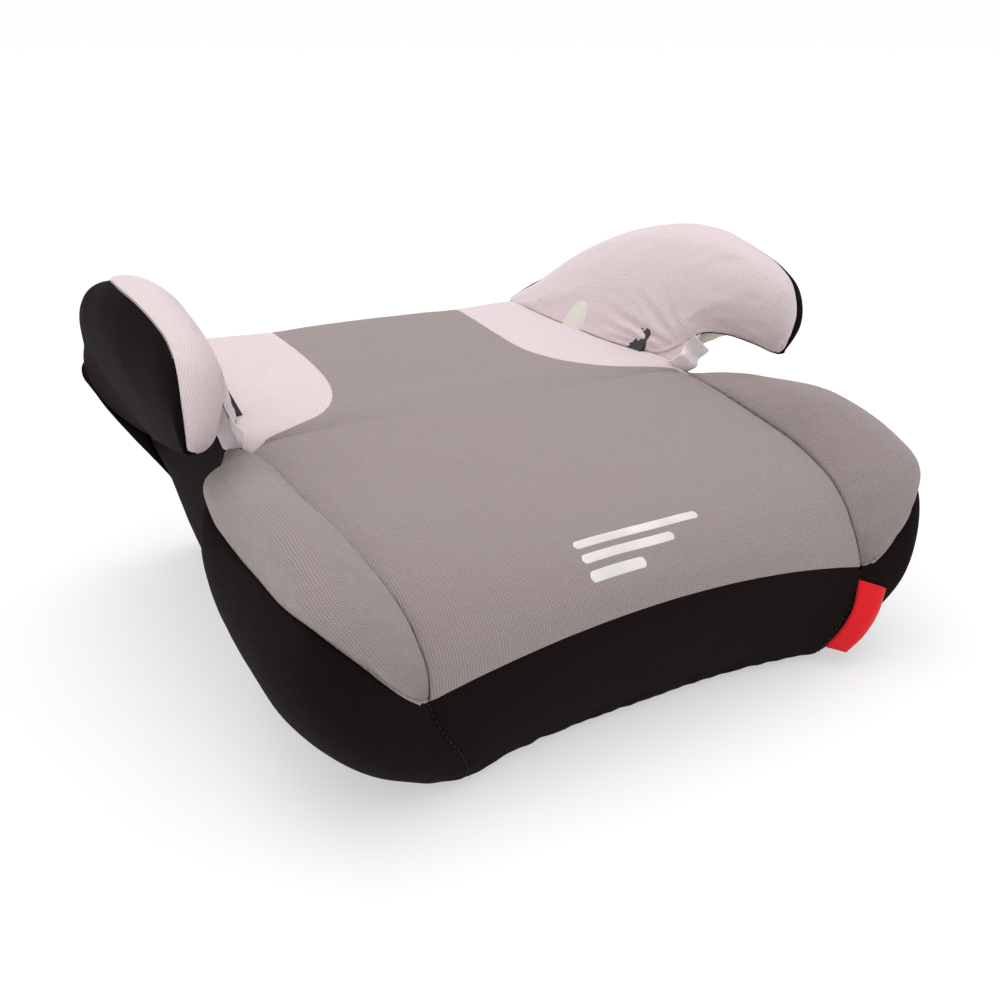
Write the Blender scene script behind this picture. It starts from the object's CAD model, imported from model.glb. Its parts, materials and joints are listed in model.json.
import json
import math

import bpy
import numpy as np
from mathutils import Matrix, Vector, noise
from mathutils.bvhtree import BVHTree


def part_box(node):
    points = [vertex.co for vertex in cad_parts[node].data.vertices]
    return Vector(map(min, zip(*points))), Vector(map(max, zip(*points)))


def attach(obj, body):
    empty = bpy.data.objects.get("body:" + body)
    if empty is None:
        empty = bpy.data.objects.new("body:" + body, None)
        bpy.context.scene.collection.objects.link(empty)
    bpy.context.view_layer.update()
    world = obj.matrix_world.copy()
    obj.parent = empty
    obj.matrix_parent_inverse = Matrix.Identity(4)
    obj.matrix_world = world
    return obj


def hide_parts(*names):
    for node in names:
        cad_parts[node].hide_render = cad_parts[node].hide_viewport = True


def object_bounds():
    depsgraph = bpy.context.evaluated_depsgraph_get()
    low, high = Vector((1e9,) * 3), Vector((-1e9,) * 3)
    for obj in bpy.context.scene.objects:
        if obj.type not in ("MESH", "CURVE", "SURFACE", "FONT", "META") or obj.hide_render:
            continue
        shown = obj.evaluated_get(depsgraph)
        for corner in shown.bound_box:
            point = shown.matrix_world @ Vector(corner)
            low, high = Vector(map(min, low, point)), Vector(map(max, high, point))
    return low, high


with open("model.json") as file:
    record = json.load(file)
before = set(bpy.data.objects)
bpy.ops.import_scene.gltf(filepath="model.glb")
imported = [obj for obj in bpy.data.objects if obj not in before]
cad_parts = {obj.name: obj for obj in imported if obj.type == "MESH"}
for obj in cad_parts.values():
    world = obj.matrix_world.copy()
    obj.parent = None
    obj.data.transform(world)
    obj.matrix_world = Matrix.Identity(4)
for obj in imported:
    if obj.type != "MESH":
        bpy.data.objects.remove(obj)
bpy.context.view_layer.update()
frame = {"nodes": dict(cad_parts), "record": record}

# Backless booster seat: the look of every piece, in the CAD frame (metres, +Z up, front towards -Y).
MM = 0.001
SIDES = (("right", 1), ("left", -1))

# The stations below share the CAD's modelling datum; a foot's place gives its offset in the frame.
FOOT_FRONT_PLACE = -118.0
foot_low, foot_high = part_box("foot_front_right")
DATUM = Vector((0, (foot_low.y + foot_high.y) / 2 - FOOT_FRONT_PLACE * MM, 0))

# ------------------------------------------------------------------ stations of the cover (mm)
# root edge, its handle, crest seam, its inner handle, its outer handle, lower outer edge, its handle, inner
# edge of the underside
ARMREST = [
    [(128, 197, 149), (1, 1, 2), (131, 201, 151), (-2, 0, 1),
     (84, 2, 44), (171, 193, 86), (60, 2, 46), (168, 190, 89)],
    [(131, 172, 146.5), (3, 4, 12), (152, 184, 164), (-8, 1, 7),
     (66, 6, 32), (176, 172, 95), (44, 8, 46), (166, 170, 96)],
    [(135, 143, 143), (5, 3, 25), (176, 157, 189), (-17, 1, 7),
     (50, 4, 18), (182, 143, 106), (30, 3, 50), (163, 140, 106)],
    [(139, 114, 140.5), (6, 1, 36), (196, 121, 208), (-26, 0, 7),
     (31, 2, 5), (188, 112, 114), (24, 1, 42), (162, 110, 114)],
    [(142, 88, 138.5), (6, -2, 42), (204, 93, 215.5), (-30, 0, 7),
     (23, 1, -12), (193, 82, 120), (17, 0, 40), (162, 82, 120)],
    [(147, 64, 137), (6, -3, 44), (208.5, 66, 219.5), (-33, 0, 6),
     (19, 0, -24), (197, 54, 128), (12, 0, 34), (162, 56, 125)],
    [(154, 40, 137), (3, -4, 44), (209.3, 39, 219), (-33, -1, 5),
     (17, 0, -26), (200, 30, 134), (10, 0, 30), (163, 40, 129)],
    [(162, 24, 145), (-1, -4, 34), (207.5, 18, 216.3), (-31, -2, 5),
     (16, 0, -24), (201.5, 12, 138), (8, 0, 27), (165, 26, 141)],
    [(169, 11, 155), (-4, -6, 22), (205.3, -5, 211), (-28, -5, 3),
     (15, 0, -21), (202.5, -4, 141), (7, -2, 22), (172, 12, 154)],
    [(177, -6, 157), (-6, -8, 16), (204, -24, 204.5), (-24, -9, 0),
     (14, -1, -18), (203, -17, 144), (6, -3, 18), (179.5, -6, 156)],
    [(185, -22, 153.5), (-8, -8, 11), (204.3, -38, 193), (-20, -9, -3),
     (10, 1, -13), (203.3, -27, 146), (4, -3, 12), (187, -22, 153)],
    [(192, -32, 149), (-8, -7, 6), (204.8, -43, 173), (-14, -6, -4),
     (6, 1, -7), (203.2, -33, 146.5), (3, -2, 6), (193.5, -32, 148.6)],
    [(198, -36, 147), (-3, -2, 1), (203.2, -37, 150), (-4, -2, -1),
     (0.5, 0, -1), (202.6, -36, 147), (0.5, 0, 1), (198.5, -36, 146.8)],
]
# inner seam, its handle, outer seam, its handle
BOLSTER = [
    [(160, 17, 128), (2, 2, 1), (166, 28, 125), (-1, 0, 2)],
    [(157, 2, 129), (6, 0, 5), (176, 9, 119), (1, 3, 4)],
    [(154, -22, 128), (12, 0, 14), (187, -5, 112), (7, 5, 15)],
    [(152.5, -50, 124), (14, -2, 24), (189.5, -28, 102), (9, 3, 34)],
    [(151, -80, 119), (16, -2, 34), (191, -64, 101), (9, 0, 43)],
    [(148, -108, 114.5), (18, -2, 38), (192.5, -98, 103), (8, -2, 43)],
    [(144, -138, 105), (20, -5, 34), (193.5, -134, 104.5), (6, -6, 33)],
    [(141, -156, 94), (18, -9, 22), (189, -163, 104), (7, -8, 17)],
    [(139.3, -167, 81), (12, -8, 12), (172, -176.5, 87.5), (6, -7, 9)],
    [(139, -172.5, 71), (6, -5, 5), (156, -179, 70.5), (4, -4, 4)],
    [(140.3, -175.3, 60), (0.3, -0.3, 0.3), (142, -175.5, 59.5), (0.3, -0.3, 0.3)],
]
# top, its handle, hem, its handle
SIDE_SKIRT = [
    [(140.3, -175.3, 60), (0, -3, -20), (119, -169, 6), (0, -13, 22)],
    [(156, -179, 70.5), (2, -8, -20), (134, -163, 5), (14, -16, 18)],
    [(172, -176.5, 87.5), (6, -14, -25), (148, -152, 5), (20, -28, 22)],
    [(189, -163, 104), (9, -12, -28), (157, -137, 5), (24, -24, 24)],
    [(193.5, -134, 104.5), (7, -4, -28), (162, -113, 5), (25, -12, 26)],
    [(192.5, -98, 103), (8, 0, -26), (165, -80, 5), (21, -2, 28)],
    [(191, -64, 101), (8, 0, -24), (165, -48, 5), (19, 0, 30)],
    [(189.5, -28, 102), (7, 2, -24), (164, -20, 5), (17, 0, 30)],
    [(187, -5, 112), (6, 6, -26), (162, 0, 5), (15, 0, 32)],
    [(176, 9, 119), (5, 8, -28), (161, 18, 5), (12, 0, 32)],
    [(166, 28, 125), (3, 4, -30), (160, 36, 5), (10, 0, 32)],
    [(163, 60, 124), (3, 0, -30), (159, 62, 5), (10, 0, 32)],
    [(162, 95, 117), (5, 0, -28), (157, 95, 5), (10, 0, 30)],
    [(163, 135, 107), (5, 0, -26), (154, 132, 5), (11, 0, 28)],
    [(166, 170, 95), (3, 0, -24), (147, 168, 5), (11, 0, 24)],
    [(171, 193, 86), (0, 1, -14), (138, 191, 5), (0, 5, 14)],
]
# edge point, and how far the middle stands out along Y and Z
CENTRE = [
    [(76, 203, 139), (0, 2, 0), 2],
    [(75.8, 195, 148), (0, 1, 1), 2],
    [(75, 169, 147), (0, 0, 1.5), 2],
    [(74, 130, 143), (0, 0, 2.5), 2],
    [(76, 92, 138.5), (0, 0, 3.5), 2],
    [(86, 58, 137), (0, 0, 2.5), 2],
    [(104, 30, 137), (0, 0, 1), 3],
    [(128, 15, 136.5), (0, 0, -0.4), 5],
    [(146, 9, 134), (0, 0, 1.3), 7],
    [(158, 4, 128.5), (0, 0, 6.1), 8],
    [(154.5, -20, 128.3), (0, 0, 3.4), 6],
    [(152.5, -50, 124), (0, 0, 4), 3],
    [(151, -80, 119), (0, 0, 5), 2],
    [(148, -108, 114.5), (0, 0, 5.5), 2],
    [(144, -138, 105), (0, 0, 7), 2],
    [(141, -156, 94), (0, -1, 10), 2],
    [(139.3, -167, 81), (0, -2, 13.5), 2],
    [(139, -172.5, 71), (0, -2.5, 16), 2],
    [(140.3, -175.3, 60), (0, -2.7, 17.5), 2],
]
# seam to the centre panel, seam to the armrest
REAR_CORNER = [
    [(76, 203, 139), (126, 203, 140)],
    [(75.8, 195, 148), (127.5, 197, 149)],
    [(75, 169, 147), (131, 172, 146.5)],
    [(74, 130, 143), (135, 143, 143)],
    [(76, 92, 138.5), (139, 114, 140.5)],
    [(86, 58, 137), (142, 88, 138.5)],
    [(104, 30, 137), (147, 64, 137)],
    [(128, 15, 136.5), (154, 40, 136.5)],
    [(146, 9, 134), (158, 24, 133.5)],
    [(158, 4, 128.5), (160, 17, 128)],
]
ARCH_START = 6  # armrest station where the closed underside ends and the arch begins

# Gusset between seat and armrest, round the end of the belt notch: lower edge, upper edge.
GUSSET = [
    [(154, 41, 136.5), (154, 41, 138)],
    [(158, 24, 133.5), (162, 24, 145.5)],
    [(160, 16.5, 128), (169.5, 10.5, 155.5)],
    [(166, 27, 125.5), (172, 23, 146)],
    [(163, 46, 126), (166, 44, 130)],
]
# The padding is not quite the same on both sides. At each station: how much higher the lower outer edge of
# the right armrest lies, how much further each black side swells, and how much further the left side skirt
# swells (mm).
RIGHT_EDGE_LIFT = (0, 0, 0, 1, 6, 13, 17, 15, 10, 8, 6, 2, 0)
RIGHT_OUTER_SWELL = (0, 0, 0, 0, 2, 4, 6, 9, 11, 13, 13, 8, 0)
LEFT_OUTER_SWELL = (0, 5, 9, 7, 4, 2, 0, 0, 0, 0, 0, 0, 0)
LEFT_SKIRT_SWELL = (0, 2, 5, 10, 15, 15, 14, 12, 8, 3, 0, 0, 0, 0, 0, 0)
HEM_SWELL = 0.7  # how much of the skirt's swell is left at the hem


def armrest_for(side):
    """The armrest stations of one side."""
    changes = zip(ARMREST, RIGHT_EDGE_LIFT, RIGHT_OUTER_SWELL)
    if side < 0:
        changes = zip(ARMREST, [0] * len(ARMREST), LEFT_OUTER_SWELL)
    changed = []
    for station, lift, swell in changes:
        x, y, z = station[5]
        handle = (station[4][0] + swell, station[4][1], station[4][2])
        changed.append(station[:4] + [handle, (x, y, z + lift)] + station[6:])
    return changed


def side_skirt_for(side):
    """The side skirt stations of one side."""
    if side > 0:
        return SIDE_SKIRT
    swollen = []
    for (top, top_handle, hem, hem_handle), swell in zip(SIDE_SKIRT, LEFT_SKIRT_SWELL):
        top_out = (top_handle[0] + swell, top_handle[1], top_handle[2])
        hem_out = (hem_handle[0] + HEM_SWELL * swell, hem_handle[1], hem_handle[2])
        swollen.append([top, top_out, hem, hem_out])
    return swollen


# ------------------------------------------------------------------ grids
PANEL_STEP = 2.2  # row spacing of the panels (mm)
GUSSET_STEP = 1.5


def catmull_rom(before, here, there, after, t):
    """A point on the smooth curve through four points, between the middle two."""
    return 0.5 * (2 * here + (there - before) * t
                  + (2 * before - 5 * here + 4 * there - after) * t * t
                  + (3 * here - before - 3 * there + after) * t ** 3)


def bezier(a, a_handle, b_handle, b, t):
    """A point on the cubic curve between two ends with their handle points."""
    return a * (1 - t) ** 3 + 3 * a_handle * t * (1 - t) ** 2 + 3 * b_handle * t * t * (1 - t) + b * t ** 3


def dense(stations, step):
    """Stations joined by a Catmull-Rom curve, with rows about one step apart (mm)."""
    rows = np.array([np.concatenate([np.atleast_1d(np.array(p, float)) for p in s]) for s in stations])
    out = []
    last = len(rows) - 1
    for i in range(last):
        before, here, there, after = rows[max(i - 1, 0)], rows[i], rows[i + 1], rows[min(i + 2, last)]
        reach = max(np.linalg.norm((there - here)[k:k + 3]) for k in (0, 6) if k + 3 <= len(here))
        count = max(3, int(round(reach / step)))
        for k in range(count):
            out.append(catmull_rom(before, here, there, after, k / count))
    out.append(rows[-1])
    return np.array(out)


def spread(count):
    """Values 0 to 1, closer together at both ends."""
    s = np.linspace(0, 1, count + 1)
    return 0.55 * s + 0.45 * (1 - np.cos(math.pi * s)) / 2


def cubics(rows, first, first_handle, last, last_handle, count):
    """One section for each row, given by point indices in the row; straight where it has no handles."""
    def pick(i):
        return rows[:, 3 * i:3 * i + 3][:, None, :]
    t = spread(count)[None, :, None]
    a, b = pick(first), pick(last)
    if first_handle is None:
        return a * (1 - t) + b * t
    return bezier(a, a + pick(first_handle), b + pick(last_handle), b, t)


def placed(grid, side=1):
    """A grid of mm points as metres in the frame, mirrored for the left."""
    return grid * np.array((side, 1, 1)) * MM + np.array(DATUM)


def normals(grid):
    """Unit normals of a grid, on the side its rows and columns give."""
    along = np.gradient(grid, axis=0)
    across = np.gradient(grid, axis=1)
    n = np.cross(along, across)
    length = np.linalg.norm(n, axis=2, keepdims=True)
    return n / np.maximum(length, 1e-12)


def outward(grid, inside):
    """Unit normals that point away from a place inside the seat."""
    n = normals(grid)
    i, j = grid.shape[0] // 2, grid.shape[1] // 2
    away = np.dot(n[i, j], grid[i, j] - np.array(inside))
    return n if away > 0 else -n


def arc(grid, axis):
    """Arc length along an axis of the grid, from its first row or column."""
    step = np.linalg.norm(np.diff(grid, axis=axis), axis=2)
    total = np.cumsum(step, axis=axis)
    pad = [(0, 0), (0, 0)]
    pad[axis] = (1, 0)
    return np.pad(total, pad)


def edge_distances(grid):
    """Distance to the start row, end row, start column and end column."""
    along, across = arc(grid, 0), arc(grid, 1)
    return along, along[-1:, :] - along, across, across[:, -1:] - across


def unevenness(grid, scale, amount, seed):
    """Slow random waviness of cloth over foam."""
    out = np.zeros(grid.shape[:2])
    shift = Vector((seed * 7.3, seed * 3.1, seed * 5.7))
    for i in range(grid.shape[0]):
        for j in range(grid.shape[1]):
            out[i, j] = noise.noise(Vector(grid[i, j]) / scale + shift)
    return out * amount


CREASE_POINTS = 25


def crease(grid, start, end, width, depth):
    """Height of one pulled fold: a groove along a line on the grid, with a soft ridge on each side."""
    flat = grid.reshape(-1, 3)
    line = start + (end - start) * np.linspace(0, 1, CREASE_POINTS)[:, None]
    on_grid = np.array([flat[np.argmin(np.sum((flat - p) ** 2, axis=1))] for p in line])
    away = np.sqrt(((grid[:, :, None] - on_grid) ** 2).sum(axis=-1))
    nearest = away.argmin(axis=-1)
    distance, t = away.min(axis=-1) / width, nearest / (CREASE_POINTS - 1)
    swell = np.sin(np.pi * np.clip(0.25 + 0.75 * t, 0, 1)) ** 0.8
    return depth * swell * (0.75 * np.exp(-((distance - 1.5) / 0.8) ** 2) - np.exp(-distance ** 2))


# ------------------------------------------------------------------ meshes
def mesh_object(name, verts, faces, uvs=None):
    mesh = bpy.data.meshes.new(name)
    mesh.from_pydata([tuple(v) for v in verts], [], faces)
    mesh.update()
    if uvs is not None:
        layer = mesh.uv_layers.new(name="cloth")
        for loop in mesh.loops:
            layer.data[loop.index].uv = uvs[loop.vertex_index]
    mesh.shade_smooth()
    obj = bpy.data.objects.new(name, mesh)
    bpy.context.scene.collection.objects.link(obj)
    return obj


def grid_faces(rows, cols, flip):
    faces = []
    for i in range(rows - 1):
        for j in range(cols - 1):
            quad = (i * cols + j, i * cols + j + 1, (i + 1) * cols + j + 1, (i + 1) * cols + j)
            faces.append(quad[::-1] if flip else quad)
    return faces


def tucked(grid, out, tuck, lap, down):
    """Adds a row all round that turns down into the seam, less where the panel narrows to a point."""
    width = arc(grid, 1)[:, -1]
    length = arc(grid, 0)[-1]

    def edge(points, inner_points, n, room):
        away = points - inner_points
        away = away / np.maximum(np.linalg.norm(away, axis=-1, keepdims=True), 1e-9)
        into = -n if down is None else -n * 0.3 + np.array(down)
        into = into / np.linalg.norm(into, axis=-1, keepdims=True)
        reach = np.minimum(tuck, 0.3 * room)[..., None]
        return points + away * lap + into * reach
    top = edge(grid[0], grid[1], out[0], np.minimum(length, width[0]))
    bottom = edge(grid[-1], grid[-2], out[-1], np.minimum(length, width[-1]))
    middle = np.concatenate([
        edge(grid[:, 0], grid[:, 1], out[:, 0], width)[:, None],
        grid,
        edge(grid[:, -1], grid[:, -2], out[:, -1], width)[:, None],
    ], axis=1)
    first = np.concatenate([(top[0] + middle[0, 0])[None] / 2, top, (top[-1] + middle[0, -1])[None] / 2])
    last = np.concatenate([(bottom[0] + middle[-1, 0])[None] / 2, bottom,
                           (bottom[-1] + middle[-1, -1])[None] / 2])
    return np.concatenate([first[None], middle, last[None]], axis=0)


SEAM = {"depth": 0.8 * MM, "width": 1.9 * MM, "lap": 0.15 * MM}
# Waves of the cloth over the foam: their two lengths (m), and how far from its edges a panel lies calm.
WAVE_LONG, WAVE_SHORT, CALM_EDGE = 0.035, 0.012, 7 * MM
GRIDS = {}  # the shaped grid and the outward directions of every panel, by name


def cloth_panel(name, grid, inside, material, seams=(1, 1, 1, 1), bumps=None, tuck=3.0 * MM, wave=0.35,
                seed=1, down=None):
    """A fabric panel with sunken seams, slow unevenness and any folds given by a function."""
    out = outward(grid, inside)
    distances = edge_distances(grid)
    height = unevenness(grid, WAVE_LONG, wave * MM, seed)
    height = height + unevenness(grid, WAVE_SHORT, 0.25 * wave * MM, seed + 9)
    height *= 1 - np.exp(-(np.minimum.reduce(distances) / CALM_EDGE) ** 2)
    for strength, distance in zip(seams, distances):
        height = height - strength * SEAM["depth"] * np.exp(-(distance / SEAM["width"]) ** 1.4)
    if bumps is not None:
        height = height + bumps(grid)
    shaped = grid + out * height[..., None]
    out = outward(shaped, inside)
    u, v = arc(grid, 1), arc(grid, 0)
    middle = u.shape[1] // 2
    u = u - u[:, middle:middle + 1]
    full = tucked(shaped, out, tuck, SEAM["lap"], down)
    uv = np.stack([np.pad(u, 1, mode="edge"), np.pad(v, 1, mode="edge")], axis=2).reshape(-1, 2)
    rows, cols = full.shape[:2]
    flip = np.dot(normals(grid)[len(grid) // 2, middle], out[len(grid) // 2, middle]) > 0
    obj = mesh_object(name, full.reshape(-1, 3), grid_faces(rows, cols, flip), uv)
    obj.data.materials.append(material)
    GRIDS[name] = (shaped, out)
    return obj


# ------------------------------------------------------------------ materials
class Nodes:
    """Small helper to wire shader nodes."""

    def __init__(self, name):
        self.material = bpy.data.materials.new(name)
        self.material.use_nodes = True
        self.tree = self.material.node_tree
        self.shader = self.tree.nodes["Principled BSDF"]

    def put(self, socket, value):
        if isinstance(value, bpy.types.NodeSocket):
            self.tree.links.new(value, socket)
        else:
            socket.default_value = value

    def math(self, operation, *values):
        node = self.tree.nodes.new("ShaderNodeMath")
        node.operation = operation
        for socket, value in zip(node.inputs, values):
            self.put(socket, value)
        return node.outputs[0]

    def noise(self, vector, scale, detail=2.0, rough=0.5):
        node = self.tree.nodes.new("ShaderNodeTexNoise")
        self.put(node.inputs["Vector"], vector)
        node.inputs["Scale"].default_value = scale
        node.inputs["Detail"].default_value = detail
        node.inputs["Roughness"].default_value = rough
        return node.outputs["Fac"]

    def span(self, value, low, high, to_low, to_high):
        node = self.tree.nodes.new("ShaderNodeMapRange")
        self.put(node.inputs["Value"], value)
        for key, number in (("From Min", low), ("From Max", high), ("To Min", to_low), ("To Max", to_high)):
            node.inputs[key].default_value = number
        return node.outputs["Result"]

    def mix(self, factor, a, b):
        node = self.tree.nodes.new("ShaderNodeMix")
        node.data_type = "RGBA"
        self.put(node.inputs["Factor"], factor)
        self.put(node.inputs["A"], a)
        self.put(node.inputs["B"], b)
        return [s for s in node.outputs if s.type == "RGBA"][0]

    def bump(self, height, distance, strength=1.0, normal=None):
        node = self.tree.nodes.new("ShaderNodeBump")
        self.put(node.inputs["Height"], height)
        node.inputs["Distance"].default_value = distance
        node.inputs["Strength"].default_value = strength
        if normal is not None:
            self.put(node.inputs["Normal"], normal)
        return node.outputs["Normal"]

    def object_coords(self):
        return self.tree.nodes.new("ShaderNodeTexCoord").outputs["Object"]

    def cloth_coords(self):
        node = self.tree.nodes.new("ShaderNodeUVMap")
        node.uv_map = "cloth"
        return node.outputs["UV"]

    def split(self, vector):
        node = self.tree.nodes.new("ShaderNodeSeparateXYZ")
        self.put(node.inputs[0], vector)
        return node.outputs[0], node.outputs[1]

    def base_between(self, value, color, low, high):
        """Base colour that drifts between a darker and a lighter shade of one colour."""
        drift = self.span(value, 0.3, 0.7, 0.0, 1.0)
        self.put(self.shader.inputs["Base Color"], self.mix(drift, shade(color, low), shade(color, high)))


def shade(color, factor):
    return tuple(c * factor for c in color) + (1.0,)


WALE, COURSE = 1.5 * MM, 1.25 * MM  # width and height of one knitted stitch


def knit(name, color, dark, sheen, rough, relief):
    """Weft knit: staggered rounded stitches, fine fibre noise, slow colour drift."""
    n = Nodes(name)
    place = n.object_coords()
    u, v = n.split(n.cloth_coords())
    warp = n.noise(place, 90.0, 1.0)
    u = n.math("ADD", u, n.span(warp, 0.3, 0.7, -0.0004, 0.0004))
    column = n.math("DIVIDE", u, WALE)
    row = n.math("DIVIDE", v, COURSE)
    stagger = n.math("MULTIPLY", n.math("MODULO", n.math("FLOOR", column), 2.0), 0.5)
    across = n.math("ABSOLUTE", n.math("SINE", n.math("MULTIPLY", column, math.pi)))
    along = n.math("ABSOLUTE", n.math("SINE", n.math("MULTIPLY", n.math("ADD", row, stagger), math.pi)))
    stitch = n.math("MULTIPLY", n.math("POWER", across, 0.7), n.math("POWER", along, 0.6))
    fibre = n.noise(place, 2600.0, 3.0, 0.7)
    speck = n.noise(place, 700.0, 2.0)
    drift = n.noise(place, 14.0, 2.0)
    tone = n.math("ADD", n.math("MULTIPLY", stitch, 0.75), n.math("MULTIPLY", fibre, 0.35))
    base = n.mix(n.span(tone, 0.15, 0.95, 0.0, 1.0), shade(color, dark), shade(color, 1.08))
    base = n.mix(n.span(speck, 0.35, 0.75, 0.0, 0.22), base, shade(color, dark * 0.85))
    base = n.mix(n.span(drift, 0.3, 0.7, 0.0, 0.12), base, shade(color, 0.82))
    n.put(n.shader.inputs["Base Color"], base)
    n.put(n.shader.inputs["Roughness"], n.span(fibre, 0.3, 0.7, rough - 0.06, rough + 0.05))
    n.shader.inputs["Specular IOR Level"].default_value = 0.25
    n.shader.inputs["Sheen Weight"].default_value = sheen
    n.shader.inputs["Sheen Roughness"].default_value = 0.45
    fine = n.bump(fibre, 0.12 * MM, 0.6)
    n.put(n.shader.inputs["Normal"], n.bump(stitch, relief, 1.0, fine))
    return n.material


def moulded(name, color, rough, grain):
    """Spark-eroded plastic or rubber."""
    n = Nodes(name)
    place = n.object_coords()
    fine, slow = n.noise(place, 1500.0, 3.0), n.noise(place, 25.0, 2.0)
    n.base_between(slow, color, 0.85, 1.15)
    n.put(n.shader.inputs["Roughness"], n.span(slow, 0.3, 0.7, rough - 0.07, rough + 0.07))
    n.put(n.shader.inputs["Normal"], n.bump(fine, grain, 0.8))
    return n.material


def cell_foam(name, color):
    """Cut polyurethane foam with open cells."""
    n = Nodes(name)
    place = n.object_coords()
    cells = n.tree.nodes.new("ShaderNodeTexVoronoi")
    n.put(cells.inputs["Vector"], place)
    cells.inputs["Scale"].default_value = 900.0
    slow = n.noise(place, 30.0, 2.0)
    n.base_between(slow, color, 0.9, 1.05)
    n.shader.inputs["Roughness"].default_value = 0.95
    n.put(n.shader.inputs["Normal"], n.bump(cells.outputs["Distance"], 0.3 * MM, 0.8))
    return n.material


def plated(name, color):
    """Zinc-plated steel."""
    n = Nodes(name)
    place = n.object_coords()
    marks = n.noise(place, 1800.0, 3.0)
    n.base_between(marks, color, 0.8, 1.1)
    n.shader.inputs["Metallic"].default_value = 1.0
    n.put(n.shader.inputs["Roughness"], n.span(marks, 0.3, 0.7, 0.25, 0.45))
    n.put(n.shader.inputs["Normal"], n.bump(marks, 0.05 * MM, 0.5))
    return n.material


def ribbon_cloth(name, color, dark, rough, pitch, sheen=0.03):
    """Fine satin ribbon with cross threads."""
    n = Nodes(name)
    place = n.object_coords()
    u, v = n.split(n.cloth_coords())
    thread = n.math("ABSOLUTE", n.math("SINE", n.math("MULTIPLY", v, math.pi / pitch)))
    cross = n.math("ABSOLUTE", n.math("SINE", n.math("MULTIPLY", u, math.pi / (pitch * 1.6))))
    weave = n.math("MAXIMUM", thread, n.math("MULTIPLY", cross, 0.7))
    speck = n.noise(place, 500.0, 2.0)
    base = n.mix(weave, shade(color, dark), shade(color, 1.05))
    base = n.mix(n.span(speck, 0.35, 0.7, 0.0, 0.2), base, shade(color, dark))
    n.put(n.shader.inputs["Base Color"], base)
    n.put(n.shader.inputs["Roughness"], n.span(speck, 0.3, 0.7, rough - 0.08, rough + 0.08))
    n.shader.inputs["Sheen Weight"].default_value = sheen
    n.shader.inputs["Specular IOR Level"].default_value = 0.2
    n.put(n.shader.inputs["Normal"], n.bump(weave, 0.06 * MM, 0.8))
    return n.material


GREY = knit("grey_knit", (0.395, 0.330, 0.322), dark=0.62, sheen=0.25, rough=0.86, relief=0.28 * MM)
LIGHT = knit("light_knit", (0.82, 0.70, 0.725), dark=0.80, sheen=0.2, rough=0.84, relief=0.22 * MM)
BLACK = knit("black_knit", (0.0125, 0.0070, 0.0072), dark=0.5, sheen=0.0, rough=0.88, relief=0.2 * MM)
BLACK.node_tree.nodes["Principled BSDF"].inputs["Specular IOR Level"].default_value = 0.06
PLASTIC = moulded("moulded_plastic", (0.030, 0.030, 0.032), 0.55, 0.05 * MM)
RUBBER = moulded("foot_rubber", (0.045, 0.045, 0.045), 0.75, 0.08 * MM)
FOAM = cell_foam("foam", (0.78, 0.76, 0.68))
STEEL = plated("screw_steel", (0.62, 0.62, 0.64))
TAPE = ribbon_cloth("hem_tape", (0.022, 0.020, 0.020), 0.6, 0.8, 0.7 * MM)
RED = ribbon_cloth("red_ribbon", (0.78, 0.010, 0.016), 0.8, 0.55, 0.5 * MM)
SATIN = ribbon_cloth("label_satin", (0.95, 0.89, 0.91), 0.93, 0.45, 0.5 * MM, 0.3)
THREAD = ribbon_cloth("thread", (0.032, 0.028, 0.028), 0.7, 0.8, 0.4 * MM)
INK = moulded("print_ink", (0.80, 0.76, 0.77), 0.85, 0.08 * MM)
SLOTS = {"moulded_plastic": PLASTIC, "foot_rubber": RUBBER, "foam": FOAM, "screw_steel": STEEL,
         "elastic_rubber": moulded("elastic_rubber", (0.05, 0.05, 0.05), 0.8, 0.1 * MM)}


def finish_piece(obj, slot, *nodes, fill=None):
    """Ties a piece to the seat's one body, the CAD nodes it stands for, its slot and its padding."""
    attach(obj, "root")
    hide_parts(*nodes)
    return obj


# ------------------------------------------------------------------ cover
INSIDE_SEAT = (0, 0, 0.0)
DOWN = (0, 0, -1)


def armrest_middle(side):
    return np.array((side * 0.178, 0.05, 0.165))


def seam_along(grid):
    """Strength of the seam down one side: deep beside the bolsters, soft beside the pale rear corners."""
    y = (grid[:, :1, 1] - DATUM.y) / MM
    return 0.3 + 0.7 * np.clip((5 - y) / 25, 0, 1)


CENTRE_COLUMNS = 150


def make_centre():
    rows = dense(CENTRE, PANEL_STEP)
    u = 2 * spread(CENTRE_COLUMNS)[None, :, None] - 1
    edge, rise, flatness = rows[:, None, 0:3], rows[:, None, 3:6], rows[:, None, 6:7]
    across = np.concatenate([u, np.ones_like(u), np.ones_like(u)], axis=2)
    grid = placed(edge * across + rise * (1 - np.abs(u) ** flatness))

    def bumps(points):
        """The edge of the foam sheet shows as a faint ridge beside each bolster."""
        _, _, left, right = edge_distances(points)
        y = (points[:, :, 1] - DATUM.y) / MM
        reach = np.clip((8 - y) / 20, 0, 1) * np.clip((y + 140) / 30, 0, 1)
        ridge = 0.45 * np.exp(-((right / MM - 15) / 3.5) ** 2) + 0.2 * np.exp(-((left / MM - 12) / 4.5) ** 2)
        hollow = 0.9 * np.exp(-(left / MM / 9) ** 2) + 0.5 * np.exp(-(right / MM / 7) ** 2)
        return (ridge - hollow) * reach * MM

    side_seam = seam_along(grid)
    obj = cloth_panel("centre_cover", grid, INSIDE_SEAT, GREY, wave=0.5, seed=1, bumps=bumps, down=DOWN,
                      seams=(1, 0.6, side_seam, side_seam))
    finish_piece(obj, "grey_knit", "centre_panel", fill=0.7)


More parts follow.
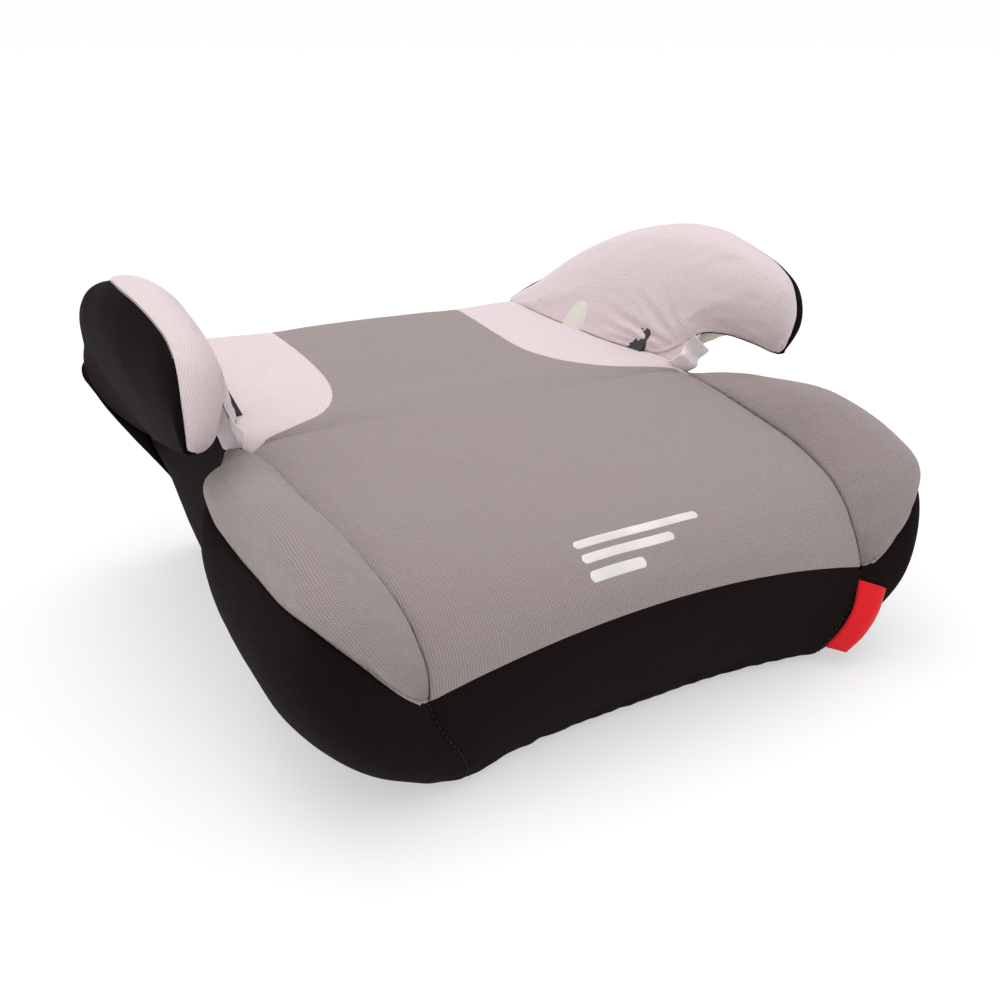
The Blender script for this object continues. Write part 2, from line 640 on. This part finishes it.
def make_corner(name, side):
    rows = dense(REAR_CORNER, PANEL_STEP)
    grid = placed(cubics(rows, 0, None, 1, None, 34), side)
    obj = cloth_panel("rear_corner_cover_" + name, grid, INSIDE_SEAT, LIGHT, wave=0.4, seed=3 + side,
                      down=DOWN, seams=(0.6, 0.3, 0.3, 0.3))
    finish_piece(obj, "light_knit", "rear_corner_panel_" + name, fill=0.7)


def make_bolster(name, side):
    rows = dense(BOLSTER, PANEL_STEP)
    grid = placed(cubics(rows, 0, 1, 2, 3, 40), side)
    obj = cloth_panel("bolster_cover_" + name, grid, (side * 0.165, -0.08, 0.06), GREY, wave=0.5,
                      seed=11 + side, down=DOWN)
    settle("bolster_cover_" + name, obj)
    finish_piece(obj, "grey_knit", "bolster_panel_" + name, fill=0.85)


CLOTH_FRAMES = 12
CLOTH_REACH = 1.3 * MM  # the furthest that a point may move


def settle(name, obj):
    """Cloth simulation of one cover: held at its seams, slightly slack, pushed out by the padding."""
    rows, cols = (n + 2 for n in GRIDS[name][0].shape[:2])
    held = obj.vertex_groups.new(name="seam")
    r, c = np.divmod(np.arange(rows * cols), cols)
    near = np.minimum.reduce([r - 1, rows - 2 - r, c - 1, cols - 2 - c])
    held.add([int(i) for i in np.flatnonzero(near <= 1)], 1.0, "REPLACE")
    cloth = obj.modifiers.new("cloth", "CLOTH")
    cloth.settings.quality = 6
    cloth.settings.mass = 0.25
    cloth.settings.tension_stiffness = 30
    cloth.settings.compression_stiffness = 30
    cloth.settings.shear_stiffness = 12
    cloth.settings.bending_stiffness = 0.4
    cloth.settings.air_damping = 4
    cloth.settings.vertex_group_mass = "seam"
    cloth.settings.shrink_min = -0.006
    cloth.settings.use_pressure = True
    cloth.settings.uniform_pressure_force = 0.25
    cloth.settings.effector_weights.gravity = 0
    cloth.collision_settings.use_collision = False
    cloth.point_cache.frame_start = 1
    cloth.point_cache.frame_end = CLOTH_FRAMES
    scene = bpy.context.scene
    for frame_number in range(1, CLOTH_FRAMES + 1):
        scene.frame_set(frame_number)
    result = obj.evaluated_get(bpy.context.evaluated_depsgraph_get()).to_mesh()
    before = np.empty(len(obj.data.vertices) * 3)
    after = np.empty_like(before)
    obj.data.vertices.foreach_get("co", before)
    result.vertices.foreach_get("co", after)
    move = (after - before).reshape(-1, 3)
    length = np.maximum(np.linalg.norm(move, axis=1, keepdims=True), 1e-9)
    move *= CLOTH_REACH * np.tanh(length / CLOTH_REACH) / length
    obj.modifiers.clear()
    obj.vertex_groups.clear()
    obj.data.vertices.foreach_set("co", before + move.reshape(-1))
    obj.data.update()
    scene.frame_set(1)


# Pulled folds of the right armrest, from the end of the belt notch: start, end, half width, depth (mm).
RIGHT_FOLDS = [
    ((157, 30, 146), (149, 104, 163), 3.2, 0.9),
    ((159, 26, 148), (155, 68, 176), 3.2, 1.0),
    ((157, 31, 144.5), (149, 84, 158), 2.6, 1.2),
    ((156, 34, 142), (146, 96, 149), 2.2, 1.1),
    ((155, 37, 140), (143, 92, 141.5), 1.9, 0.9),
    ((161, 21, 150.5), (160, 44, 182), 3.0, 0.8),
]
LEFT_FOLDS = [
    ((158, 31, 142), (151, 70, 155), 4.0, 0.8),
    ((162, 23, 146), (156, 62, 168), 4.5, 0.7),
]


def folds(entries, side):
    """A height function that adds the pulled folds."""
    def bumps(points):
        height = np.zeros(points.shape[:2])
        for start, end, width, depth in entries:
            a = placed(np.array(start, float), side)
            b = placed(np.array(end, float), side)
            height += crease(points, a, b, width * MM, depth * MM)
        return height
    return bumps


ARCH_RISE = 10


def hollow_under(shape):
    """How far the underside of the armrest arches up between its two seams."""
    along = np.linspace(0, 1, shape[0])[:, None]
    across = np.linspace(0, 1, shape[1])[None, :]
    fade = np.clip(along / 0.06, 0, 1) * np.clip((1 - along) / 0.35, 0, 1)
    return ARCH_RISE * MM * fade * np.sin(np.pi * across ** 0.7)


def make_armrest(name, side):
    stations = armrest_for(side)
    rows = dense(stations, PANEL_STEP)
    middle = armrest_middle(side)
    inner = placed(cubics(rows, 0, 1, 2, 3, 56), side)
    outer = placed(cubics(rows, 2, 4, 5, 6, 46), side)
    pulled = folds(RIGHT_FOLDS if side > 0 else LEFT_FOLDS, side)
    obj = cloth_panel("armrest_inner_cover_" + name, inner, middle, LIGHT, wave=0.4, seed=21 + side,
                      bumps=pulled, seams=(0.5, 1, 0.3, 1), tuck=2.5 * MM)
    settle("armrest_inner_cover_" + name, obj)
    finish_piece(obj, "light_knit", "armrest_inner_panel_" + name, fill=0.85)
    obj = cloth_panel("armrest_outer_cover_" + name, outer, middle, BLACK, wave=0.5, seed=31 + side,
                      seams=(1, 1, 1, 0.5))
    finish_piece(obj, "black_knit", "armrest_outer_panel_" + name, fill=0.85)
    for piece, part in (("under", stations[:ARCH_START + 1]), ("arch", stations[ARCH_START:])):
        band = placed(cubics(dense(part, PANEL_STEP), 7, None, 5, None, 18), side)
        if piece == "arch" and side > 0:
            band[:, :, 2] += hollow_under(band.shape)
        obj = cloth_panel("armrest_%s_cover_%s" % (piece, name), band, middle, BLACK, wave=0.3,
                          seed=41 + side)
        finish_piece(obj, "black_knit", "armrest_%s_panel_%s" % (piece, name), fill=0.8)
    make_gusset(name, side)


def make_gusset(name, side):
    neck = placed(cubics(dense(GUSSET, GUSSET_STEP), 0, None, 1, None, 24), side)
    obj = cloth_panel("notch_gusset_cover_" + name, neck, (side * 0.163, 0.04, 0.135), LIGHT, wave=0.4,
                      seed=46 + side, seams=(0, 0, 0, 0), tuck=1 * MM)
    finish_piece(obj, "light_knit", fill=0.8)


def gathered(seed, depth=0.9):
    """Small ripples where the elastic draws the hem in."""
    def bumps(points):
        _, _, _, hem = edge_distances(points)
        return unevenness(points, 0.010, depth * MM, seed) * np.exp(-(hem / (14 * MM)) ** 2)
    return bumps


def make_side_skirt(name, side):
    rows = dense(side_skirt_for(side), PANEL_STEP)
    grid = placed(cubics(rows, 0, 1, 2, 3, 44), side)
    obj = cloth_panel("side_skirt_cover_" + name, grid, (0, 0, 0.06), BLACK, seams=(1, 1, 1, 0), wave=0.6,
                      seed=51 + side, bumps=gathered(91 + side))
    finish_piece(obj, "black_knit", "side_skirt_" + name, fill=0.6)


def front_section(u):
    """Arched under the seat's front edge; u runs from -1 at the left corner to 1 at the right."""
    arch = 1 - u * u
    top = np.array((140.3 * u, -175.3 - 2.7 * arch, 60 + 17.5 * arch))
    hem = np.array((119 * u, -157 - 12 * abs(u) ** 3, 6))
    return np.concatenate([top, (0, -3, -20), hem, (0, -13, 22)])


def make_front_skirt():
    rows = np.array([front_section(u) for u in np.linspace(-1, 1, 131)])
    grid = placed(cubics(rows, 0, 1, 2, 3, 40))
    obj = cloth_panel("front_skirt_cover", grid, (0, 0, 0.04), BLACK, seams=(1, 1, 1, 0), wave=0.5, seed=61,
                      bumps=gathered(95, 1.2))
    finish_piece(obj, "black_knit", "front_skirt", fill=0.6)


def rear_section(u):
    """Level behind the seat as far as u = 0.5, then round the back of the armrests."""
    wing = ARMREST[0]
    side, reach = (1 if u >= 0 else -1), abs(u) * 2
    if reach <= 1:
        top = np.array((side * 126 * reach, 205 - 2.5 * reach, 138 + 6 * reach))
    else:
        t = reach - 1
        a, b = np.array(wing[2], float), np.array(wing[5], float)
        top = bezier(a, a + wing[4], b + wing[6], b, t)
        top[0] *= side
    hem = np.array((138 * u, 198 - 7 * abs(u) ** 3, 5))
    return np.concatenate([top, (0, 1, -14), hem, (0, 5, 14)])


def make_rear_skirt():
    rows = np.array([rear_section(u) for u in np.linspace(-1, 1, 201)])
    grid = placed(cubics(rows, 0, 1, 2, 3, 40))
    obj = cloth_panel("rear_skirt_cover", grid, (0, 0, 0.06), BLACK, seams=(1, 1, 1, 0), wave=0.6, seed=71,
                      bumps=gathered(97))
    finish_piece(obj, "black_knit", "rear_skirt", fill=0.6)


# ------------------------------------------------------------------ small and hidden pieces
def copy_of(node, name, voxel, rounds):
    """A rounded, evenly meshed copy of a CAD solid."""
    source = frame["nodes"][node]
    obj = bpy.data.objects.new(name, source.data.copy())
    obj.matrix_world = source.matrix_world.copy()
    bpy.context.scene.collection.objects.link(obj)
    remesh = obj.modifiers.new("even", "REMESH")
    remesh.mode = "VOXEL"
    remesh.voxel_size = voxel
    soft = obj.modifiers.new("soft", "SMOOTH")
    soft.factor = 0.5
    soft.iterations = rounds
    depsgraph = bpy.context.evaluated_depsgraph_get()
    mesh = bpy.data.meshes.new_from_object(obj.evaluated_get(depsgraph))
    obj.modifiers.clear()
    obj.data = mesh
    obj.data.shade_smooth()
    obj.data.materials.clear()
    return obj


FOAM_VOXEL = 4 * MM
FOAM_ROUNDS = 4


def make_foams():
    nodes = ["seat_foam"]
    for name, _ in SIDES:
        nodes += ["armrest_foam_" + name, "bolster_foam_" + name]
    for node in nodes:
        obj = copy_of(node, node + "_block", FOAM_VOXEL, FOAM_ROUNDS)
        obj.data.materials.append(FOAM)
        finish_piece(obj, "foam", node, fill=0.9)


def slab(name, grid, thickness, material, out=None):
    """A thin closed solid from a grid of points, thickened along its normals."""
    rows, cols = grid.shape[:2]
    half = (normals(grid) if out is None else out) * thickness / 2
    points = np.concatenate([(grid + half).reshape(-1, 3), (grid - half).reshape(-1, 3)])
    faces = grid_faces(rows, cols, False)
    under = [tuple(v + rows * cols for v in reversed(face)) for face in faces]
    ring = list(range(cols)) + [r * cols + cols - 1 for r in range(1, rows)]
    ring += [(rows - 1) * cols + c for c in range(cols - 2, -1, -1)]
    ring += [r * cols for r in range(rows - 2, 0, -1)]
    rim = [(a, a + rows * cols, b + rows * cols, b) for a, b in zip(ring, ring[1:] + ring[:1])]
    uv = np.stack([arc(grid, 1), arc(grid, 0)], axis=2).reshape(-1, 2)
    obj = mesh_object(name, points, faces + under + rim, np.concatenate([uv, uv]))
    obj.data.materials.append(material)
    return obj


def through(points, count):
    """A smooth row of points through a few given ones."""
    points = np.array(points, float)
    ends = np.concatenate([[2 * points[0] - points[1]], points, [2 * points[-1] - points[-2]]])
    out = []
    for s in np.linspace(0, len(points) - 1, count):
        k = min(int(s), len(points) - 2)
        out.append(catmull_rom(*ends[k:k + 4], s - k))
    return np.array(out)


def strip(lines, side, across, along, crumple=0.0, seed=1):
    """Grid between two lines of a few points each, slightly crumpled."""
    first, last = (through(line, along) for line in lines)
    t = np.linspace(0, 1, across)[None, :, None]
    grid = placed(first[:, None] * (1 - t) + last[:, None] * t, side)
    return grid + normals(grid) * (unevenness(grid, 0.008, crumple * MM, seed))[..., None]


# Woven tab in the front right seam: its sewn edge and its fold.
TAB_SEWN = [(138.5, -175.6, 52), (133, -179.5, 38), (126.5, -178.5, 25), (119.5, -174, 12.5)]
TAB_FOLD = [(155, -182.5, 45), (148, -185, 32), (138.5, -185, 20), (129, -181.5, 9.5)]
TAB_GAP = 0.9 * MM  # between the tab's two layers
TAB_THICKNESS = 0.35 * MM
TAB_BULGE = 3.0 * MM  # how far the tab curves out between its seam and its fold


def make_tab():
    sewn, fold = placed(through(TAB_SEWN, 26)), placed(through(TAB_FOLD, 26))
    t = np.linspace(0, 1, 12)
    facing = normals(np.stack([sewn, fold], axis=1))[:, :1]
    flat = sewn[:, None] * (1 - t[None, :, None]) + fold[:, None] * t[None, :, None]
    flat = flat + np.array((0.5, -0.85, 0)) * TAB_BULGE * np.sin(np.pi * t[None, :, None])
    bulge = (TAB_GAP / 2 * np.sqrt(1 - t ** 6))[None, :, None]
    loop = np.concatenate([flat + facing * bulge, (flat - facing * bulge)[:, -2::-1]], axis=1)
    obj = slab("seam_tab", loop, TAB_THICKNESS, RED)
    finish_piece(obj, "red_ribbon", "red_tab")


# Care labels at the front end of each belt notch: (sewn to free) along both edges.
LABELS = {
    "right": [[(144, 16, 138), (151, 10, 142.5), (156, 12, 147), (158, 4, 157)],
              [(161, 15, 128.5), (165, 8, 133), (168, 9, 138), (172, 4, 144)]],
    "left": [[(160, 6, 130.5), (162, 9, 137), (166, 15, 146), (168, 19, 155)],
             [(160, 10.5, 133), (161, 6, 140), (166, 8, 149), (168, 9, 158)]],
}


LABEL_THICKNESS = 0.5 * MM


def make_labels():
    for name, side in SIDES:
        grid = strip(LABELS[name], side, 20, 34, 1.6, 5 + side)
        obj = slab("care_label_cloth_" + name, grid, LABEL_THICKNESS, SATIN)
        finish_piece(obj, "label_satin", "care_label_" + name)


# Plain printed motif near the front of the seat: y, first x, last x of each rounded bar.
BARS = [(-150.5, -46, 34), (-158.5, -46, 12), (-166.5, -46, -12)]
BAR_WIDTH = 4.6
BAR_ROWS, BAR_COLUMNS = 61, 9
ABOVE_SEAT = 400


def make_motif():
    cover = bpy.data.objects["centre_cover"]
    tree = BVHTree.FromObject(cover, bpy.context.evaluated_depsgraph_get())
    points, faces = [], []
    radius = BAR_WIDTH / 2
    for y, start, end in BARS:
        grid = np.zeros((BAR_ROWS, BAR_COLUMNS, 3))
        for r, x in enumerate(np.linspace(start, end, BAR_ROWS)):
            past = max(0, radius - min(x - start, end - x))
            reach = math.sqrt(max(radius ** 2 - past ** 2, 0.01))
            for c, t in enumerate(np.linspace(-1, 1, BAR_COLUMNS)):
                place = Vector((x, y + reach * t, ABOVE_SEAT)) * MM + Vector((DATUM.x, DATUM.y, 0))
                hit, normal, _, _ = tree.ray_cast(place, Vector((0, 0, -1)))
                lift = 0.05 if abs(t) == 1 or r in (0, BAR_ROWS - 1) else 0.22
                grid[r, c] = hit + normal * lift * MM
        faces += [tuple(v + len(points) for v in face) for face in grid_faces(BAR_ROWS, BAR_COLUMNS, True)]
        points += list(grid.reshape(-1, 3))
    obj = mesh_object("seat_motif", np.array(points), faces)
    obj.data.materials.append(INK)
    finish_piece(obj, None)


def seam_line(cover, edge):
    """Points and outward directions along one edge of a shaped panel."""
    grid, out = GRIDS[cover]
    return {"left": (grid[:, 0], out[:, 0]), "right": (grid[:, -1], out[:, -1]),
            "start": (grid[0], out[0]), "end": (grid[-1], out[-1])}[edge]


STITCH = {"pitch": 3.6, "length": 2.6, "radius": 0.34}
THREAD_RINGS, THREAD_SIDES = 7, 6


def make_stitches(name, lines, material):
    """Short rounded threads along seams."""
    points, faces = [], []
    for line, out in lines:
        reach = np.concatenate([[0], np.cumsum(np.linalg.norm(np.diff(line, axis=0), axis=1))])
        for s in np.arange(3 * MM, reach[-1] - 3 * MM, STITCH["pitch"] * MM):
            a = np.array([np.interp(s, reach, line[:, k]) for k in range(3)])
            b = np.array([np.interp(s + STITCH["length"] * MM, reach, line[:, k]) for k in range(3)])
            n = np.array([np.interp(s, reach, out[:, k]) for k in range(3)])
            along = (b - a) / np.linalg.norm(b - a)
            n = n - along * n.dot(along)
            n /= np.linalg.norm(n)
            aside = np.cross(along, n)
            base = len(points)
            for q in np.linspace(0, 1, THREAD_RINGS):
                thick = STITCH["radius"] * MM * math.sqrt(max(1 - (2 * q - 1) ** 4, 0.02))
                middle = a + (b - a) * q + n * (0.55 * math.sin(math.pi * q) - 0.1) * MM
                for w in np.arange(THREAD_SIDES) * (2 * math.pi / THREAD_SIDES):
                    points.append(middle + (n * math.cos(w) + aside * math.sin(w)) * thick)
            for q in range(THREAD_RINGS - 1):
                for w in range(THREAD_SIDES):
                    k = base + q * THREAD_SIDES + w
                    m = base + q * THREAD_SIDES + (w + 1) % THREAD_SIDES
                    faces.append((k, m, m + THREAD_SIDES, k + THREAD_SIDES))
            far = base + (THREAD_RINGS - 1) * THREAD_SIDES
            faces.append(tuple(base + w for w in reversed(range(THREAD_SIDES))))
            faces.append(tuple(far + w for w in range(THREAD_SIDES)))
    obj = mesh_object(name, np.array(points), faces)
    obj.data.materials.append(material)
    finish_piece(obj, None)


HEM = {"width": 18, "sag": 2.4, "thickness": 0.7}
ELASTIC_RADIUS = 1.6


def make_hem():
    """The turned hem under the rim, and the elastic cord at its inner edge."""
    ring = np.concatenate([
        seam_line("front_skirt_cover", "right")[0],
        seam_line("side_skirt_cover_right", "right")[0][1:],
        seam_line("rear_skirt_cover", "right")[0][::-1][1:],
        seam_line("side_skirt_cover_left", "right")[0][::-1][1:],
    ])
    middle = np.array((DATUM.x, DATUM.y, 0))
    away = ring - middle
    away[:, 2] = 0
    inward = -away / np.linalg.norm(away, axis=1, keepdims=True)
    t = np.linspace(0, 1, 9)[None, :, None]
    drop = np.array((0, 0, -1.0)) * MM * (HEM["sag"] * np.sin(np.pi * np.clip(1.3 * t, 0, 1) / 2))
    grid = ring[:, None] + inward[:, None] * HEM["width"] * MM * t + drop
    grid[:, :, 2] += unevenness(grid, 0.009, 0.5 * MM, 83) * np.linspace(0, 1, 9)[None, :]
    obj = slab("hem_tape_ring", grid, HEM["thickness"] * MM, TAPE)
    finish_piece(obj, "hem_tape", "hem_band", fill=0.5)
    line = grid[:, -1] + np.array((0, 0, 0.6)) * MM
    around = (np.arange(9) * math.pi / 4)[None, :, None]
    rise = np.array((0, 0, 1.0))
    cord = line[:, None] + (inward[:, None] * np.cos(around) + rise * np.sin(around)) * ELASTIC_RADIUS * MM
    obj = mesh_object("hem_elastic_cord", cord.reshape(-1, 3), grid_faces(cord.shape[0], 9, False))
    obj.data.materials.append(SLOTS["elastic_rubber"])
    finish_piece(obj, "elastic_rubber", "hem_elastic")


def slot_of(node):
    """Material slot of a CAD node, from the record."""
    for part in frame["record"]["subparts"]:
        if part["node"] == node:
            return part["material_slot"]
    return None


def finish_hard_nodes():
    """Materials of the CAD solids that stay as they are."""
    for name, node in frame["nodes"].items():
        slot = slot_of(name)
        if slot in SLOTS:
            node.data.materials.clear()
            node.data.materials.append(SLOTS[slot])


# ------------------------------------------------------------------ stage
def area_light(name, place, aim, size, power, color=(1, 1, 1)):
    light = bpy.data.lights.new(name, "AREA")
    light.shape = "DISK"
    light.size = size
    light.energy = power
    light.color = color
    obj = bpy.data.objects.new(name, light)
    bpy.context.scene.collection.objects.link(obj)
    obj.location = place
    obj.rotation_euler = (Vector(aim) - Vector(place)).to_track_quat("-Z", "Y").to_euler()


def studio_world():
    """White at and below the horizon, dimmer from the sides, brightest overhead."""
    world = bpy.data.worlds.new("studio")
    bpy.context.scene.world = world
    world.use_nodes = True
    tree = world.node_tree
    coords = tree.nodes.new("ShaderNodeTexCoord")
    parts = tree.nodes.new("ShaderNodeSeparateXYZ")
    ramp = tree.nodes.new("ShaderNodeValToRGB")
    tree.links.new(coords.outputs["Generated"], parts.inputs[0])
    tree.links.new(parts.outputs[2], ramp.inputs[0])
    tree.links.new(ramp.outputs[0], tree.nodes["Background"].inputs[0])
    stops = ramp.color_ramp.elements
    stops[0].position, stops[0].color = 0.0, (1, 1, 1, 1)
    stops[1].position, stops[1].color = 1.0, (1.55, 1.53, 1.52, 1)
    for position, value in ((0.07, 0.99), (0.14, 0.42), (0.45, 0.68)):
        stop = stops.new(position)
        stop.color = (value, value * 0.985, value * 0.98, 1)
    tree.nodes["Background"].inputs[1].default_value = 1.0


FLOOR_REACH = 60


def make_stage():
    low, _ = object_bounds()
    corners = [(x * FLOOR_REACH, y * FLOOR_REACH, 0) for x, y in ((-1, -1), (1, -1), (1, 1), (-1, 1))]
    floor = mesh_object("floor", corners, [(0, 1, 2, 3)])
    n = Nodes("floor_white")
    n.shader.inputs["Base Color"].default_value = (0.5, 0.498, 0.498, 1)
    n.shader.inputs["Emission Color"].default_value = (1, 1, 1, 1)
    n.shader.inputs["Emission Strength"].default_value = 0.5
    n.shader.inputs["Roughness"].default_value = 0.8
    n.shader.inputs["Specular IOR Level"].default_value = 0.1
    floor.data.materials.append(n.material)
    floor.location.z = low.z
    studio_world()
    area_light("overhead", (-0.2, 0.5, 1.7), (0, 0, 0.1), 1.1, 5)
    area_light("side", (-1.5, -0.2, 0.9), (0, 0, 0.1), 0.8, 0.3)
    bpy.context.scene.view_settings.view_transform = "Standard"


# Camera: place in the modelling datum, turn from straight ahead and downward pitch in degrees, film and lens.
CAMERA_PLACE = (-333.734, -562.749, 334.422)
CAMERA_AZIMUTH = 30.74
CAMERA_PITCH = 22.05
SENSOR_WIDTH, FOCAL_LENGTH = 36.0, 39.6


def make_camera():
    data = bpy.data.cameras.new("camera")
    data.sensor_width = SENSOR_WIDTH
    data.lens = FOCAL_LENGTH
    obj = bpy.data.objects.new("camera", data)
    bpy.context.scene.collection.objects.link(obj)
    obj.location = Vector(CAMERA_PLACE) * MM + DATUM
    obj.rotation_euler = (math.radians(90 - CAMERA_PITCH), 0, -math.radians(CAMERA_AZIMUTH))
    bpy.context.scene.camera = obj


def main():
    make_centre()
    for name, side in SIDES:
        make_corner(name, side)
        make_bolster(name, side)
        make_armrest(name, side)
        make_side_skirt(name, side)
    make_front_skirt()
    make_rear_skirt()
    make_foams()
    finish_hard_nodes()
    make_hem()
    make_tab()
    make_labels()
    make_motif()
    front = [seam_line("front_skirt_cover", "start"), seam_line("front_skirt_cover", "end")]
    make_stitches("front_seam_threads", front, THREAD)
    make_stage()
    make_camera()


main()
